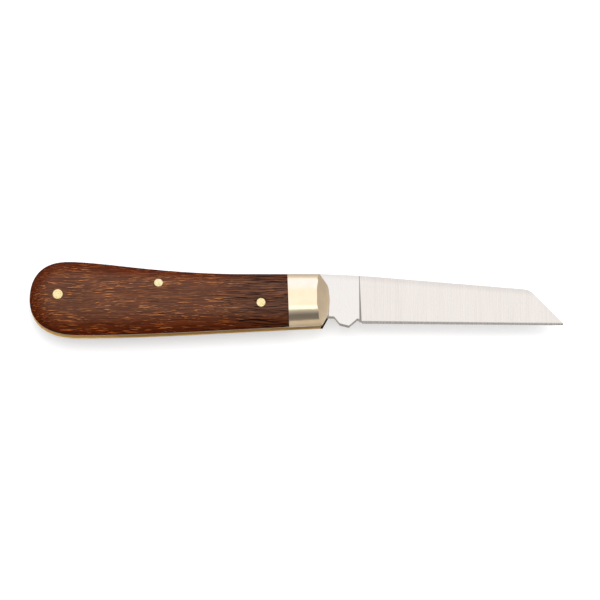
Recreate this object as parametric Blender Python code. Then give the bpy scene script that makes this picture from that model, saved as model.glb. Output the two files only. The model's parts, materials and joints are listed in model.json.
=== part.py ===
"""Slip-joint folding knife with a lambfoot blade, lying open on its mark side.

Frame: the origin is where the pivot axis meets the rest plane. +X runs towards the blade's tip,
+Y towards the blade's spine and the backspring, and +Z out of the pile side. Sizes are in
millimetres until a mesh is made. Outlines are drawn around the pivot, and heights are counted
from the knife's middle plane.
"""

import math

import bmesh
import bpy
from mathutils import Matrix, Vector

MM = 0.001

# Thicknesses, counted from the middle plane outwards.
HALF_KNIFE = 6.0
TANG = 2.6
SPRING = 2.64
SLOT = 2.7
LINER = 0.42
SEAT_GAP = 0.03
LINER_INNER = SLOT / 2
LINER_OUTER = LINER_INNER + LINER
COVER_INNER = LINER_OUTER + SEAT_GAP

# Handle outline: its named points, and the pull points that bend the curves between them.
HANDLE_TOP = 8.8
TOP_BEND = (-20.0, HANDLE_TOP)
CREST = (-78.0, 12.98)
BUTT = (-90.2, 0.4)
BELLY = (-74.0, -12.12)
BELLY_FRONT = (7.2, -8.65)
BACK_PULLS = ((-48.0, HANDLE_TOP), (-66.0, CREST[1]))
BUTT_UPPER_PULLS = ((-86.0, CREST[1]), (BUTT[0], 8.45))
BUTT_LOWER_PULLS = ((BUTT[0], -7.5), (-84.4, BELLY[1]))
BELLY_PULL = (-50.0, BELLY[1])
BELLY_SLOPE = 0.043
BELLY_LEAD = 30.0
FRONT_REACH = 16.0
LONG_STEPS = 14
BUTT_STEPS = 12

# The front end of the bolsters, from the back edge to the belly: x, y, corner radius. It leans
# back as it rises and its bow flattens. The liners end a little behind it.
FRONT_CORNERS = [(4.2, 9.2, 0), (6.95, 4.4, 5.0), (7.35, 0.2, 12.0), (7.05, -5.0, 1.2), (5.1, -9.2, 0)]
FRONT_TOP = 3.25
FRONT_TOP_BOW = 0.35
LINER_SETBACK = 1.0

# Crown of the covers: a narrow flat along the middle, falling away on an elliptic arc, whose
# centre lies beyond the middle plane.
LAND_HALF_WIDTH = 1.9
LAND_END = (-79.0, 0.4)
CROWN_SINK = 2.5
CROWN_STEPS = 8

# The joint between scale and bolster.
JOINT_X = -6.12
JOINT_SLANT = math.radians(2.0)
JOINT_GAP = 0.04

# Pins.
PIVOT_RADIUS = 1.6
CENTRE_PIN = (-48.2, 4.6)
CENTRE_PIN_RADIUS = 1.4
END_PIN = (-80.8, 0.6)
END_PIN_RADIUS = 1.6
SCALE_PIN = (-14.9, -2.2)
SCALE_PIN_RADIUS = 1.4
PIN_GAP = 0.02
RUNNING_GAP = 0.05
PIN_SIDES = 36

# Tang and backspring. Corners are x, y and corner radius.
SPRING_SEAT = 4.7
BEARING_GAP = 0.03
CAM_RADIUS = 5.2
CAM_STEPS = 12
CLOSED_ANGLE = math.radians(170.0)
CLOSED_FLAT_END = 4.4
CLOSED_FLAT_CORNER = 0.8
SHOULDER_X = 4.0
SHOULDER_GAP = 0.05
SPRING_ARM = 6.25
TAIL_FLOOR = -3.4
SPRING_UNDERSIDE = [
    (-77.5, -3.0, 5.0),
    (-71.0, 2.2, 8.0),
    (-53.0, 2.2, 3.0),
    (-51.0, 1.9, 2.0),
    (-45.4, 1.9, 2.5),
    (-42.2, 4.6, 3.0),
    (-20.0, SPRING_ARM, 60.0),
    (-8.6, SPRING_ARM, 1.5),
    (-5.4, SPRING_SEAT, 1.5),
]

# Blade.
SPINE_AT_SHOULDER = 9.03
SPINE_BEND = (20.0, 8.28)
SPINE_BEND_RADIUS = 100.0
SPINE_END = (72.45, 3.77)
SPINE_END_RADIUS = 5.0
POINT = (83.2, -7.5)
EDGE_END = (83.25, -8.15)
EDGE_START = (18.1, -7.6)
KICK_CORNERS = [(8.8, -5.5, 0.6), (10.6, -7.85, 0.8), (13.6, -8.65, 0.25)]
CHOIL_CORNERS = [(16.45, -6.1, 0.35), (17.5, -7.0, 0.4)]
PLUNGE_X = 17.0
PLUNGE_LEAN = 0.75
GRIND_AT_HEEL = 0.30
GRIND_AT_POINT = 0.20
GRIND_BELOW_SPINE = 0.2
EDGE_HALF = 0.02
EDGE_BEVEL = 0.38

# Nail nick, on the mark side.
NICK_X = 42.0
NICK_RADIUS = 30.0
NICK_DEPTH = 0.55
NICK_WIDTH = 1.5
NICK_BELOW_SPINE = 0.9
NICK_SIDES = 160

# Cutting tools reach past what they cut.
CUT_MARGIN = 1.0
CUT_REACH = 20.0
CUT_AHEAD = 60.0
CUT_LENGTH = 120.0
GRIND_REACH = 12.0
GRIND_ROOF = 8.0

# Round outlines turn by at most this angle per step, and faces that meet more sharply than a
# crease angle keep a sharp edge between them.
ROUND_STEP = math.radians(14.0)
CREASE = math.radians(30.0)
BLADE_CREASE = math.radians(5.0)

# Colours, roughness and metallic values.
STEEL = ((0.80, 0.79, 0.77, 1), 0.28, 1.0)
SPRING_STEEL = ((0.70, 0.69, 0.67, 1), 0.35, 1.0)
NICKEL_SILVER = ((0.80, 0.72, 0.56, 1), 0.22, 1.0)
BRASS = ((0.86, 0.66, 0.30, 1), 0.30, 1.0)
PIN_BRASS = ((0.90, 0.78, 0.48, 1), 0.30, 1.0)
HARDWOOD = ((0.17, 0.06, 0.03, 1), 0.45, 0.0)


def clear_scene():
    for obj in list(bpy.data.objects):
        bpy.data.objects.remove(obj, do_unlink=True)


def material(name, finish):
    mat = bpy.data.materials.get(name) or bpy.data.materials.new(name)
    mat.use_nodes = True
    shader = mat.node_tree.nodes["Principled BSDF"]
    shader.inputs["Base Color"].default_value = finish[0]
    shader.inputs["Roughness"].default_value = finish[1]
    shader.inputs["Metallic"].default_value = finish[2]
    return mat


# ---- plane curves ----


def bezier(p0, p1, p2, p3, steps):
    """Points of a cubic curve from p0 up to, and without, p3."""
    points = []
    for i in range(steps):
        t = i / steps
        a, b, c, d = (1 - t) ** 3, 3 * t * (1 - t) ** 2, 3 * t * t * (1 - t), t**3
        points.append(tuple(a * p0[k] + b * p1[k] + c * p2[k] + d * p3[k] for k in (0, 1)))
    return points


def arc(radius, start, end, steps):
    """Points of an arc around the pivot, both ends included."""
    angles = [start + (end - start) * i / steps for i in range(steps + 1)]
    return [(radius * math.cos(a), radius * math.sin(a)) for a in angles]


def rounded(corners, closed=True):
    """A polyline whose corners (x, y, radius) are replaced by arcs."""
    points = []
    count = len(corners)
    for i, (x, y, radius) in enumerate(corners):
        if radius == 0 or (not closed and i in (0, count - 1)):
            points.append((x, y))
            continue
        corner = Vector((x, y))
        back = (Vector(corners[i - 1][:2]) - corner).normalized()
        ahead = (Vector(corners[(i + 1) % count][:2]) - corner).normalized()
        opening = back.angle(ahead)
        centre = corner + (back + ahead).normalized() * radius / math.sin(opening / 2)
        reach = radius / math.tan(opening / 2)
        first = corner + back * reach - centre
        turn = first.angle_signed(corner + ahead * reach - centre)
        steps = max(2, math.ceil(abs(turn) / ROUND_STEP))
        for k in range(steps + 1):
            angle = -turn * k / steps
            spun = Vector(
                (
                    first.x * math.cos(angle) - first.y * math.sin(angle),
                    first.x * math.sin(angle) + first.y * math.cos(angle),
                )
            )
            points.append(tuple(centre + spun))
    return points


def back_edge():
    """The handle's back, from the bend behind the bolster to its crest."""
    return bezier(TOP_BEND, *BACK_PULLS, CREST, LONG_STEPS)


def butt_upper():
    return bezier(CREST, *BUTT_UPPER_PULLS, BUTT, BUTT_STEPS)


def butt_lower():
    return bezier(BUTT, *BUTT_LOWER_PULLS, BELLY, BUTT_STEPS)


def belly_edge():
    front_pull = (BELLY_FRONT[0] - BELLY_LEAD, BELLY_FRONT[1] - BELLY_LEAD * BELLY_SLOPE)
    return bezier(BELLY, BELLY_PULL, front_pull, BELLY_FRONT, LONG_STEPS)


def handle_edge(reach):
    """The handle's edge, anticlockwise from the front of the back to the front of the belly."""
    run = reach - BELLY_FRONT[0]
    front_top = [(reach, HANDLE_TOP)]
    front_belly = [BELLY_FRONT, (reach, BELLY_FRONT[1] + run * BELLY_SLOPE)]
    return front_top + back_edge() + butt_upper() + butt_lower() + belly_edge() + front_belly


def front_curve():
    return rounded(FRONT_CORNERS, closed=False)


# ---- solids ----


def add_object(name, bm, centre=(0.0, 0.0)):
    """Make an object from a bmesh in millimetres, with its origin at centre in the middle plane."""
    bmesh.ops.translate(bm, vec=(-centre[0], -centre[1], 0), verts=bm.verts)
    bmesh.ops.scale(bm, vec=(MM, MM, MM), verts=bm.verts)
    bmesh.ops.recalc_face_normals(bm, faces=bm.faces)
    mesh = bpy.data.meshes.new(name)
    bm.to_mesh(mesh)
    bm.free()
    obj = bpy.data.objects.new(name, mesh)
    obj.location = (centre[0] * MM, centre[1] * MM, HALF_KNIFE * MM)
    bpy.context.scene.collection.objects.link(obj)
    bpy.context.view_layer.update()
    return obj


def prism(name, outline, low, high, top=None, centre=(0.0, 0.0)):
    """A solid from an outline at height low up to height high, where top may be another outline."""
    bm = bmesh.new()
    base = [bm.verts.new((x, y, low)) for x, y in outline]
    roof = [bm.verts.new((x, y, high)) for x, y in top or outline]
    bm.faces.new(base)
    bm.faces.new(roof)
    for i in range(len(base)):
        j = (i + 1) % len(base)
        bm.faces.new((base[i], base[j], roof[j], roof[i]))
    if top:
        bmesh.ops.triangulate(bm, faces=bm.faces)
    return add_object(name, bm, centre)


def rod(name, centre, radius, low, high):
    bm = bmesh.new()
    bmesh.ops.create_cone(
        bm, cap_ends=True, segments=PIN_SIDES, radius1=radius, radius2=radius, depth=high - low
    )
    bmesh.ops.translate(bm, vec=(centre[0], centre[1], (low + high) / 2), verts=bm.verts)
    return add_object(name, bm, centre)


def hexahedron(name, corners):
    """A block from four lower and four upper corners, both in the same order."""
    bm = bmesh.new()
    verts = [bm.verts.new(c) for c in corners]
    for loop in ((3, 2, 1, 0), (4, 5, 6, 7), (0, 1, 5, 4), (1, 2, 6, 5), (2, 3, 7, 6), (3, 0, 4, 7)):
        bm.faces.new([verts[i] for i in loop])
    return add_object(name, bm)


def boolean(target, tool, operation):
    """Cut, join or intersect target with tool, which is used up."""
    modifier = target.modifiers.new(operation, "BOOLEAN")
    modifier.operation = operation
    modifier.object = tool
    graph = bpy.context.evaluated_depsgraph_get()
    old = target.data
    target.data = bpy.data.meshes.new_from_object(target.evaluated_get(graph))
    target.data.name = target.name
    target.modifiers.clear()
    bpy.data.meshes.remove(old)
    bpy.data.objects.remove(tool, do_unlink=True)
    return target


def drill(target, centre, radius):
    reach = HALF_KNIFE + CUT_MARGIN
    return boolean(target, rod("drill", centre, radius, -reach, reach), "DIFFERENCE")


def finish(obj, mat, crease=CREASE):
    """Give a piece its material and smooth its round faces."""
    obj.data.materials.clear()
    obj.data.materials.append(mat)
    obj.data.shade_smooth()
    obj.data.set_sharp_from_angle(angle=crease)
    return obj


# ---- handle covers ----


def land_point(point):
    """Where the crown's flat begins, below an edge point."""
    x, y = point
    along = max(x, LAND_END[0])
    middle = LAND_END[1] * (along / LAND_END[0])
    out = Vector((x - along, y - middle)).normalized() * LAND_HALF_WIDTH
    return along + out.x, middle + out.y


def crowned_blank(name, side, inner=COVER_INNER):
    """The whole crowned half of the handle, on the pile side (side 1) or the mark side (side -1)."""
    edge = handle_edge(FRONT_REACH)
    lands = [land_point(p) for p in edge]
    radius = HALF_KNIFE + CROWN_SINK
    start = math.asin((COVER_INNER + CROWN_SINK) / radius)
    bm = bmesh.new()
    rings = []
    if inner < COVER_INNER:
        rings.append([bm.verts.new((x, y, side * inner)) for x, y in edge])
    for step in range(CROWN_STEPS + 1):
        angle = start + (math.pi / 2 - start) * step / CROWN_STEPS
        spread = math.cos(angle) / math.cos(start)
        height = side * (radius * math.sin(angle) - CROWN_SINK)
        ring = []
        for (x, y), (lx, ly) in zip(edge, lands):
            ring.append(bm.verts.new((lx + (x - lx) * spread, ly + (y - ly) * spread, height)))
        rings.append(ring)
    for lower, upper in zip(rings, rings[1:]):
        for i in range(len(edge)):
            j = (i + 1) % len(edge)
            bm.faces.new((lower[i], lower[j], upper[j], upper[i]))
    bm.faces.new(rings[0])
    bm.faces.new(rings[-1])
    return add_object(name, bm)


def joint_cutter(name, behind):
    """A block over everything behind, or ahead of, the joint between scale and bolster."""
    lean = math.tan(JOINT_SLANT) * CUT_REACH
    middle = JOINT_X + (-JOINT_GAP if behind else JOINT_GAP) / 2
    far = -CUT_LENGTH if behind else CUT_AHEAD
    outline = [(middle + lean, -CUT_REACH), (middle - lean, CUT_REACH), (far, CUT_REACH), (far, -CUT_REACH)]
    return prism(name, outline, -HALF_KNIFE - CUT_MARGIN, HALF_KNIFE + CUT_MARGIN)


def front_at(height):
    """The bolster's front end at a height away from the middle plane."""
    rise = (height - COVER_INNER) / (HALF_KNIFE - COVER_INNER)
    curve = front_curve()
    tip = max(x for x, _ in curve)
    return [(x + (FRONT_TOP + (x - tip) * FRONT_TOP_BOW - x) * rise, y) for x, y in curve]


def ahead_of(front):
    """The outline of everything ahead of a curve across the front end."""
    top_corner = (front[0][0], CUT_REACH)
    belly_corner = (front[-1][0], -CUT_REACH)
    return [top_corner] + front + [belly_corner, (CUT_AHEAD, -CUT_REACH), (CUT_AHEAD, CUT_REACH)]


def front_cutter(name, side):
    """Everything ahead of the bolster's front end."""
    low = COVER_INNER - CUT_MARGIN
    high = HALF_KNIFE + CUT_MARGIN
    return prism(name, ahead_of(front_at(low)), side * low, side * high, top=ahead_of(front_at(high)))


def scale(name, side):
    blank = crowned_blank(name, side)
    boolean(blank, joint_cutter("cut", behind=True), "INTERSECT")
    for centre, radius in (
        (CENTRE_PIN, CENTRE_PIN_RADIUS),
        (END_PIN, END_PIN_RADIUS),
        (SCALE_PIN, SCALE_PIN_RADIUS),
    ):
        drill(blank, centre, radius + PIN_GAP)
    return finish(blank, material("hardwood", HARDWOOD))


def bolster(name, side):
    blank = crowned_blank(name, side)
    drill(blank, (0.0, 0.0), PIVOT_RADIUS + PIN_GAP)
    boolean(blank, joint_cutter("cut", behind=False), "INTERSECT")
    boolean(blank, front_cutter("cut", side), "DIFFERENCE")
    return finish(blank, material("nickel_silver", NICKEL_SILVER))


# ---- liners ----


def liner(name, side):
    low, high = sorted((side * LINER_INNER, side * LINER_OUTER))
    plate = prism(name, handle_edge(FRONT_REACH), low, high)
    front = ahead_of([(x - LINER_SETBACK, y) for x, y in front_curve()])
    boolean(plate, prism("cut", front, low - CUT_MARGIN, high + CUT_MARGIN), "DIFFERENCE")
    for centre, radius in (
        ((0.0, 0.0), PIVOT_RADIUS),
        (CENTRE_PIN, CENTRE_PIN_RADIUS),
        (END_PIN, END_PIN_RADIUS),
        (SCALE_PIN, SCALE_PIN_RADIUS),
    ):
        drill(plate, centre, radius + PIN_GAP)
    return finish(plate, material("brass", BRASS))


# ---- pins ----


def envelope(name):
    """The whole crowned handle, as one solid, which trims the pins flush."""
    whole = crowned_blank(name, 1, inner=-LINER)
    return boolean(whole, crowned_blank("lower", -1, inner=-LINER), "UNION")


def through_pin(name, centre, radius, mat):
    pin = rod(name, centre, radius, -HALF_KNIFE - CUT_MARGIN, HALF_KNIFE + CUT_MARGIN)
    boolean(pin, envelope("trim"), "INTERSECT")
    return finish(pin, mat)


def scale_pin(name, side):
    low, high = sorted((side * LINER_INNER, side * (HALF_KNIFE + CUT_MARGIN)))
    pin = rod(name, SCALE_PIN, SCALE_PIN_RADIUS, low, high)
    boolean(pin, crowned_blank("trim", side, inner=LINER), "INTERSECT")
    return finish(pin, material("pin_brass", PIN_BRASS))


# ---- backspring ----


def backspring():
    """One strip of spring steel: a head over the tang, a thin arm, a boss at each pin and a tail."""
    head = SHOULDER_X - SHOULDER_GAP
    tail_end = [p for p in butt_lower() if p[1] > TAIL_FLOOR]
    tail = (tail_end[-1][0], TAIL_FLOOR, 0)
    underside = rounded([tail] + SPRING_UNDERSIDE + [(head, SPRING_SEAT, 0)], closed=False)
    outline = [(head, HANDLE_TOP)] + back_edge() + butt_upper() + tail_end + underside
    strip = prism("backspring", outline, -SPRING / 2, SPRING / 2, centre=CENTRE_PIN)
    drill(strip, CENTRE_PIN, CENTRE_PIN_RADIUS + PIN_GAP)
    drill(strip, END_PIN, END_PIN_RADIUS + PIN_GAP)
    return finish(strip, material("spring_steel", SPRING_STEEL))


# ---- blade ----


def closed_flat(along):
    """A point of the tang's flat that lies under the spring when the knife is closed."""
    normal = Vector((-math.sin(CLOSED_ANGLE), math.cos(CLOSED_ANGLE)))
    across = Vector((-normal.y, normal.x))
    point = normal * (SPRING_SEAT - BEARING_GAP) + across * along
    return tuple(point)


def blade_outline():
    """The blank's outline, anticlockwise from the notch that stops against the spring."""
    seat = SPRING_SEAT - BEARING_GAP
    spread = math.acos(seat / CAM_RADIUS)
    cam_end = math.pi / 2 + CLOSED_ANGLE - spread
    cam = arc(CAM_RADIUS, math.pi / 2 + spread, cam_end, CAM_STEPS)
    cam_corners = [cam[-1] + (0,), closed_flat(CLOSED_FLAT_END) + (CLOSED_FLAT_CORNER,)]
    tang_corners = cam_corners + KICK_CORNERS + CHOIL_CORNERS + [EDGE_START + (0,)]
    spine_corners = [
        EDGE_END + (0,),
        POINT + (0,),
        SPINE_END + (SPINE_END_RADIUS,),
        SPINE_BEND + (SPINE_BEND_RADIUS,),
        (SHOULDER_X, SPINE_AT_SHOULDER, 0),
    ]
    tang = rounded(tang_corners, closed=False)
    return [(SHOULDER_X, seat)] + cam + tang[1:] + rounded(spine_corners, closed=False)


def ground_height(x, y):
    """Half the blade's thickness on the flat grind, which is one plane on each side."""
    run = (x - PLUNGE_X) / (EDGE_END[0] - PLUNGE_X)
    edge_y = EDGE_START[1] + (EDGE_END[1] - EDGE_START[1]) * run
    edge_z = GRIND_AT_HEEL + (GRIND_AT_POINT - GRIND_AT_HEEL) * run
    rise = (TANG / 2 - GRIND_BELOW_SPINE - GRIND_AT_HEEL) / (SPINE_BEND[1] - EDGE_START[1])
    return edge_z + (y - edge_y) * rise


def bevel_height(x, y):
    """Half the blade's thickness on the bevel along the cutting edge."""
    run = (x - EDGE_START[0]) / (EDGE_END[0] - EDGE_START[0])
    edge_y = EDGE_START[1] + (EDGE_END[1] - EDGE_START[1]) * run
    return EDGE_HALF + (y - edge_y) * EDGE_BEVEL


def grinding_block(name, height, side):
    """What the grinder takes off one side: all above a height, ahead of the plunge's leaning wall."""

    def wall(y):
        at_plunge = height(PLUNGE_X, y)
        climb = height(PLUNGE_X + 1, y) - at_plunge
        return PLUNGE_X + PLUNGE_LEAN * (TANG / 2 - at_plunge) / (1 + PLUNGE_LEAN * climb)

    floor = [(wall(-GRIND_REACH), -GRIND_REACH), (CUT_LENGTH, -GRIND_REACH)]
    floor += [(CUT_LENGTH, GRIND_REACH), (wall(GRIND_REACH), GRIND_REACH)]
    roof_wall = PLUNGE_X + PLUNGE_LEAN * (TANG / 2 - GRIND_ROOF)
    roof = [(roof_wall, -GRIND_REACH), (CUT_LENGTH, -GRIND_REACH)]
    roof += [(CUT_LENGTH, GRIND_REACH), (roof_wall, GRIND_REACH)]
    lower = [(x, y, side * height(x, y)) for x, y in floor]
    return hexahedron(name, lower + [(x, y, side * GRIND_ROOF) for x, y in roof])


def nick_cutter(name):
    """A cone whose rim sweeps a crescent below the spine, on the mark side."""
    slope = (SPINE_END[1] - SPINE_BEND[1]) / (SPINE_END[0] - SPINE_BEND[0])
    wall_y = SPINE_BEND[1] + slope * (NICK_X - SPINE_BEND[0]) - NICK_BELOW_SPINE
    surface = ground_height(NICK_X, wall_y)
    bm = bmesh.new()
    bmesh.ops.create_cone(
        bm,
        cap_ends=True,
        segments=NICK_SIDES,
        radius1=NICK_RADIUS - 2 * NICK_DEPTH,
        radius2=NICK_RADIUS,
        depth=2 * NICK_WIDTH,
    )
    bmesh.ops.rotate(bm, matrix=Matrix.Rotation(-math.pi / 2, 3, "X"), verts=bm.verts)
    centre = (NICK_X, wall_y - NICK_WIDTH, NICK_DEPTH - surface - NICK_RADIUS)
    bmesh.ops.translate(bm, vec=centre, verts=bm.verts)
    return add_object(name, bm)


def blade():
    blank = prism("blade", blade_outline(), -TANG / 2, TANG / 2)
    for side in (1, -1):
        boolean(blank, grinding_block("grind", ground_height, side), "DIFFERENCE")
        boolean(blank, grinding_block("grind", bevel_height, side), "DIFFERENCE")
    boolean(blank, nick_cutter("nick"), "DIFFERENCE")
    drill(blank, (0.0, 0.0), PIVOT_RADIUS + RUNNING_GAP)
    return finish(blank, material("blade_steel", STEEL), BLADE_CREASE)


def build():
    clear_scene()
    blade()
    backspring()
    for prefix, side in (("pile", 1), ("mark", -1)):
        scale(prefix + "_scale", side)
        bolster(prefix + "_bolster", side)
        liner(prefix + "_liner", side)
        scale_pin(prefix + "_scale_pin", side)
    through_pin("pivot_pin", (0.0, 0.0), PIVOT_RADIUS, material("nickel_silver", NICKEL_SILVER))
    through_pin("spring_centre_pin", CENTRE_PIN, CENTRE_PIN_RADIUS, material("pin_brass", PIN_BRASS))
    through_pin("spring_end_pin", END_PIN, END_PIN_RADIUS, material("pin_brass", PIN_BRASS))


build()
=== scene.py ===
"""Looks of a slip-joint folding knife: fine meshes, materials, soft light and camera.

Every piece is made again, finer, in the frame's own place, and stands for its CAD node. Sizes are
in millimetres until a mesh is made. Outlines are drawn around the pivot, and heights are counted
from the knife's middle plane.
"""

import json
import math

import bmesh
import bpy
from mathutils import Matrix, Vector


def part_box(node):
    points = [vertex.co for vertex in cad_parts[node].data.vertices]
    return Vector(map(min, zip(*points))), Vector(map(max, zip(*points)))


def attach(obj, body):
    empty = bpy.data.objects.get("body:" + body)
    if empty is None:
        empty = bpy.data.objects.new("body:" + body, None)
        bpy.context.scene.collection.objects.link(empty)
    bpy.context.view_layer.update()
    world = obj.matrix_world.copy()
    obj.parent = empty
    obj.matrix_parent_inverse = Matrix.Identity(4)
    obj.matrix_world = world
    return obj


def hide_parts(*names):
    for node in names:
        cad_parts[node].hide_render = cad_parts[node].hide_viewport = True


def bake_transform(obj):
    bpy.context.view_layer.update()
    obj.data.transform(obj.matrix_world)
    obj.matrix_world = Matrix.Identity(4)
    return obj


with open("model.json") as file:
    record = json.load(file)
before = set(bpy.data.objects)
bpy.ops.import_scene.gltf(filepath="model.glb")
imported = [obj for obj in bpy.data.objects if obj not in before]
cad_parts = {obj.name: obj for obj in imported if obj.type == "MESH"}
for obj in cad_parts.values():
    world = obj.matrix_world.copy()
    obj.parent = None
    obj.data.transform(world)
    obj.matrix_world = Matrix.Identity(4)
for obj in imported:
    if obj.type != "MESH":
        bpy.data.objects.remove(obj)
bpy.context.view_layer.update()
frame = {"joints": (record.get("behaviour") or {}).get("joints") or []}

MM = 0.001
JOINTS = {joint["name"]: joint for joint in frame["joints"]}
PIVOT = JOINTS["blade_fold"]["pos_m"]


def span(node):
    """A node's lowest and highest corners, in millimetres from the pivot."""
    return [tuple((corner[k] - PIVOT[k]) / MM for k in range(3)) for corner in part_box(node)]


def middle(node):
    low, high = span(node)
    return (low[0] + high[0]) / 2, (low[1] + high[1]) / 2


def radius_of(node):
    low, high = span(node)
    return (high[0] - low[0]) / 2


# Thicknesses, counted from the middle plane outwards.
HALF_KNIFE = span("pile_bolster")[1][2]
COVER_INNER = span("pile_bolster")[0][2]
LINER_INNER, LINER_OUTER = (corner[2] for corner in span("pile_liner"))
LINER = LINER_OUTER - LINER_INNER
HALF_TANG = span("blade")[1][2]
HALF_SPRING = span("backspring")[1][2]

# Handle outline: its named points, and the pull points that bend the curves between them.
HANDLE_TOP = 8.8
TOP_BEND = (-20.0, HANDLE_TOP)
CREST = (-78.0, span("pile_scale")[1][1])
BUTT = (span("pile_scale")[0][0], 0.4)
BELLY = (-74.0, span("pile_scale")[0][1])
BELLY_FRONT = (7.2, -8.65)
BACK_PULLS = ((-48.0, HANDLE_TOP), (-66.0, CREST[1]))
BUTT_UPPER_PULLS = ((-86.0, CREST[1]), (BUTT[0], 8.45))
BUTT_LOWER_PULLS = ((BUTT[0], -7.5), (-84.4, BELLY[1]))
BELLY_PULL = (-50.0, BELLY[1])
BELLY_SLOPE = 0.043
BELLY_LEAD = 30.0
FRONT_REACH = 16.0
FRONT_BACK_STEPS = 36
FRONT_BELLY_STEPS = 8

# Front end of the bolsters. Its corners, where it meets the liners, are x, y and corner radius. From
# there the face leans back to FRONT_TOP, where its edge keeps a share of the curve's bow. FRONT_FLAT
# is the face's normal in its middle. Its parts turn from that by less than FRONT_TWIST, and are
# larger than FRONT_SMALLEST, in square millimetres.
FRONT_CORNERS = [(4.2, 9.2, 0), (6.95, 4.4, 5.0), (7.35, 0.2, 12.0), (7.05, -5.0, 1.2), (5.1, -9.2, 0)]
FRONT_TOP = 3.25
FRONT_TOP_BOW = 0.35
FRONT_FLAT = (0.722, -0.042, 0.690)
FRONT_TWIST = math.radians(34)
FRONT_SMALLEST = 0.3
LINER_SETBACK = 1.0

# Crown of the covers: a narrow flat along the middle, falling away on an elliptic arc, whose
# centre lies beyond the middle plane.
LAND_HALF_WIDTH = 1.9
LAND_END = (-79.0, 0.4)
CROWN_SINK = 2.5
CROWN_STEPS = 28

# The joint between scale and bolster.
JOINT_X = -6.12
JOINT_SLANT = math.radians(2.0)
JOINT_GAP = 0.04

# Pins.
PIN_GAP = 0.02
PEENED_GAP = 0.003
PIN_SIDES = 72
RUNNING_GAP = 0.05

# Tang and backspring. Corners are x, y and corner radius.
SPRING_SEAT = 4.7
BEARING_GAP = 0.03
CAM_RADIUS = 5.2
CLOSED_ANGLE = math.radians(JOINTS["blade_fold"]["range_deg"][1])
CLOSED_FLAT_END = 4.4
CLOSED_FLAT_CORNER = 0.8
SHOULDER_GAP = 0.05
SHOULDER_X = span("backspring")[1][0] + SHOULDER_GAP
SPRING_ARM = 6.25
TAIL_FLOOR = -3.4
SPRING_HEAD_STEPS = 20
SPRING_UNDERSIDE = [
    (-77.5, -3.0, 5.0),
    (-71.0, 2.2, 8.0),
    (-53.0, 2.2, 3.0),
    (-51.0, 1.9, 2.0),
    (-45.4, 1.9, 2.5),
    (-42.2, 4.6, 3.0),
    (-20.0, SPRING_ARM, 60.0),
    (-8.6, SPRING_ARM, 1.5),
    (-5.4, SPRING_SEAT, 1.5),
]

# Blade.
SPINE_AT_SHOULDER = span("blade")[1][1]
SPINE_BEND = (20.0, 8.28)
SPINE_BEND_RADIUS = 100.0
SPINE_END = (72.45, 3.77)
SPINE_END_RADIUS = 5.0
EDGE_END = (span("blade")[1][0], -8.15)
POINT = (EDGE_END[0] - 0.05, -7.5)
EDGE_START = (18.1, -7.6)
KICK_CORNERS = [(8.8, -5.5, 0.6), (10.6, -7.85, 0.8), (13.6, -8.65, 0.25)]
CHOIL_CORNERS = [(16.45, -6.1, 0.35), (17.5, -7.0, 0.4)]
PLUNGE_X = 17.0
PLUNGE_LEAN = 0.75
GRIND_AT_HEEL = 0.30
GRIND_AT_POINT = 0.20
GRIND_BELOW_SPINE = 0.2
EDGE_HALF = 0.02
EDGE_BEVEL = 0.38

# Nail nick.
NICK_X = 42.0
NICK_RADIUS = 30.0
NICK_DEPTH = 0.55
NICK_WIDTH = 1.5
NICK_BELOW_SPINE = 0.9
NICK_SIDES = 480

# Cutting tools reach past what they cut.
CUT_MARGIN = 1.0
CUT_REACH = 20.0
CUT_AHEAD = 60.0
CUT_LENGTH = 120.0
GRIND_REACH = 12.0
GRIND_ROOF = 8.0

# Studio: colours of the sky, where they change with a direction's height or its Y, the sun, and the
# floor with its own glow. The floor's and the card's sizes are in metres.
SKY = (1.33, 1.33, 1.33, 1)
HORIZON = (0.56, 0.53, 0.485, 1)
BEHIND = (1.31, 1.42, 1.72, 1)
DUSK = (1.02, 0.99, 0.93, 1)
NADIR = (0.70, 0.68, 0.64, 1)
NADIR_ENDS = {"From Min": -0.8, "From Max": -0.3}
SKY_OPENS = {"From Min": 0.0, "From Max": 0.3}
LIFT_BEFORE = {"From Min": -1.0, "From Max": -0.3, "To Min": -0.56, "To Max": 0.0}
DUSK_OPENS = {"From Min": -0.66, "From Max": -0.1}
BEHIND_OPENS = {"From Min": -0.12, "From Max": 0.05}
TURNS_BEHIND = {"From Min": 0.34, "From Max": 0.70}
SUN = 1.7
SUN_SPREAD = math.radians(60)
SUN_TURN = (math.radians(-30), math.radians(6), 0)
FLOOR_SIZE = (6, 6)
FLOOR_GLOW = 0.38

# The card: the angle of its middle from straight up, half the angle that it spans, the strength that
# its curve's top stands for, and its strengths from its low end up.
CARD_WIDTH = 1.5
CARD_MIDDLE = math.radians(45.5)
CARD_HALF = math.radians(44.5)
CARD_TOP = 1.9
CARD_WARM = (1.0, 0.92, 0.79, 1)
CARD_STOPS = [
    (0.00, 0.74),
    (0.24, 0.74),
    (0.295, 0.22),
    (0.535, 0.18),
    (0.563, 0.28),
    (0.615, 0.38),
    (0.696, 0.55),
    (0.750, 0.75),
    (0.777, 1.85),
    (0.950, 1.75),
    (0.980, 1.33),
    (1.00, 1.33),
]

# Camera: the point it looks at and the width it takes in, in millimetres, its angle above the
# horizon, its lens and how far it sees, in metres.
CAMERA_TARGET = (-2.28, 0.5, 6.0)
CAMERA_ELEVATION = math.radians(72)
CAMERA_VIEW_WIDTH = 195.4
CAMERA_LENS = 200
CAMERA_CLIP = 20

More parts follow.
